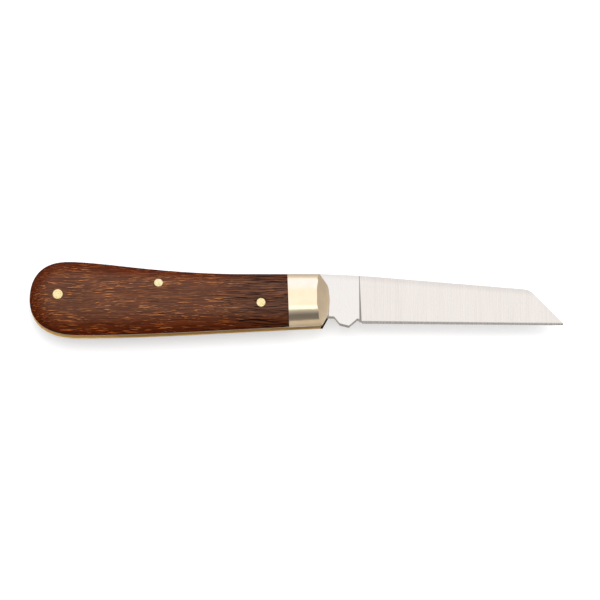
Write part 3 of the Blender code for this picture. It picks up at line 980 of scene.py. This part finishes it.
def card_material(stops):
    """A glow that changes along the card's Y, given as places from 0 to 1 and strengths."""
    m = Nodes("card", 1.0, 0.0)
    m.shader.inputs["Base Color"].default_value = (0, 0, 0, 1)
    m.shader.inputs["Specular IOR Level"].default_value = 0.0
    along = m.split(m.add("ShaderNodeTexCoord").outputs["Generated"])[1]
    curve = m.add("ShaderNodeFloatCurve", {"Value": along})
    points = curve.mapping.curves[0].points
    while len(points) < len(stops):
        points.new(0.5, 0.5)
    for point, (at, strength) in zip(points, stops):
        point.location = (at, strength / CARD_TOP)
        point.handle_type = "VECTOR"
    curve.mapping.update()
    m.feed(m.shader, "Emission Color", m.mix(m.ramp(along, 0.2, 0.3), CARD_WARM, (1, 1, 1, 1)))
    m.feed(m.shader, "Emission Strength", m.math("MULTIPLY", curve.outputs["Value"], CARD_TOP))
    return m.material


def add_card():
    """A dim card on the belly side with a bright strip above it, that only polished surfaces see."""
    card = sheet("card", (CARD_WIDTH, 2 * math.tan(CARD_HALF)), card_material(CARD_STOPS))
    card.location = (0, -math.sin(CARD_MIDDLE), math.cos(CARD_MIDDLE))
    card.rotation_euler = (CARD_MIDDLE, 0, 0)
    card.visible_camera = False
    card.visible_diffuse = False
    card.visible_shadow = False
    card.visible_transmission = False


def add_sun():
    """Soft light from above and behind, which shades the wood's lower side a little."""
    light = bpy.data.lights.new("key", "SUN")
    light.energy = SUN
    light.angle = SUN_SPREAD
    key = bpy.data.objects.new("key", light)
    key.rotation_euler = SUN_TURN
    key.visible_glossy = False
    bpy.context.scene.collection.objects.link(key)


def add_sky():
    """A white sky, dim at the horizon, which lies lower behind and higher on the belly side."""
    world = bpy.data.worlds.new("studio")
    world.use_nodes = True
    tree = world.node_tree
    backdrop = tree.nodes["Background"]
    split = tree.nodes.new("ShaderNodeSeparateXYZ")
    tree.links.new(tree.nodes.new("ShaderNodeTexCoord").outputs["Generated"], split.inputs[0])

    def between(value, inputs, interpolation="LINEAR"):
        node = tree.nodes.new("ShaderNodeMapRange")
        node.interpolation_type = interpolation
        for key, setting in inputs.items():
            node.inputs[key].default_value = setting
        tree.links.new(value, node.inputs["Value"])
        return node.outputs["Result"]

    def plus(a, b):
        node = tree.nodes.new("ShaderNodeMath")
        tree.links.new(a, node.inputs[0])
        tree.links.new(b, node.inputs[1])
        return node.outputs[0]

    def mix(factor, a, b):
        node = tree.nodes.new("ShaderNodeMix")
        node.data_type = "RGBA"
        tree.links.new(factor, node.inputs[0])
        for place_in, colour in ((6, a), (7, b)):
            if hasattr(colour, "is_output"):
                tree.links.new(colour, node.inputs[place_in])
            else:
                node.inputs[place_in].default_value = colour
        return node.outputs[2]

    y, z = split.outputs["Y"], split.outputs["Z"]
    low = mix(between(z, NADIR_ENDS), NADIR, HORIZON)
    height = plus(z, between(y, LIFT_BEFORE))
    ahead = mix(between(height, SKY_OPENS, "SMOOTHSTEP"), low, SKY)
    dusk = mix(between(z, DUSK_OPENS), HORIZON, DUSK)
    behind = mix(between(z, BEHIND_OPENS), dusk, BEHIND)
    whole = mix(between(y, TURNS_BEHIND), ahead, behind)
    tree.links.new(whole, backdrop.inputs["Color"])
    backdrop.inputs["Strength"].default_value = 1.0
    bpy.context.scene.world = world


def add_studio():
    floor = sheet("floor", FLOOR_SIZE, floor_material())
    floor.visible_glossy = False
    add_card()
    add_sun()
    add_sky()


def add_camera():
    """A long lens, 18 degrees off straight down, level with the knife's length."""
    target = Vector(CAMERA_TARGET) * MM
    data = bpy.data.cameras.new("camera")
    data.lens = CAMERA_LENS
    distance = CAMERA_VIEW_WIDTH * MM * data.lens / data.sensor_width
    back = Vector((0, -math.cos(CAMERA_ELEVATION), math.sin(CAMERA_ELEVATION)))
    camera = bpy.data.objects.new("camera", data)
    camera.location = target + back * distance
    camera.rotation_euler = back.to_track_quat("Z", "Y").to_euler()
    data.clip_end = CAMERA_CLIP
    bpy.context.scene.collection.objects.link(camera)
    bpy.context.scene.camera = camera


def build():
    wood = wood_material()
    nickel_silver = nickel_silver_material()
    # The liners' tones along their length are painted light and shade.
    grey, pale = (0.38, 0.32, 0.24, 1), (0.84, 0.77, 0.64, 1)
    bright, dull, brown = (1.0, 0.64, 0.22, 1), (0.74, 0.44, 0.14, 1), (0.58, 0.36, 0.135, 1)
    brass = {
        "pile": liner_material("liner brass with painted light and shade", grey, grey, pale),
        "mark": liner_material("liner brass", bright, dull, brown),
    }
    pin_brass = pin_material()
    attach(blade(steel_material()), "blade")
    for prefix, side in (("pile", 1), ("mark", -1)):
        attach(scale(prefix, side, wood), "handle")
        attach(bolster(prefix, side, nickel_silver), "handle")
        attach(liner(prefix, side, brass[prefix]), "handle")
    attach(pin("pivot_pin", nickel_silver, stays_sharp=by_pivot), "handle")
    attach(pin("spring_centre_pin", pin_brass), "handle")
    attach(pin("spring_end_pin", pin_brass), "handle")
    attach(pin("pile_scale_pin", pin_brass, low=LINER_INNER), "handle")
    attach(pin("mark_scale_pin", pin_brass, high=-LINER_INNER), "handle")
    strip = backspring(spring_material())
    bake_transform(strip)
    add_studio()
    add_camera()
    bpy.context.scene.view_settings.view_transform = "Standard"


build()
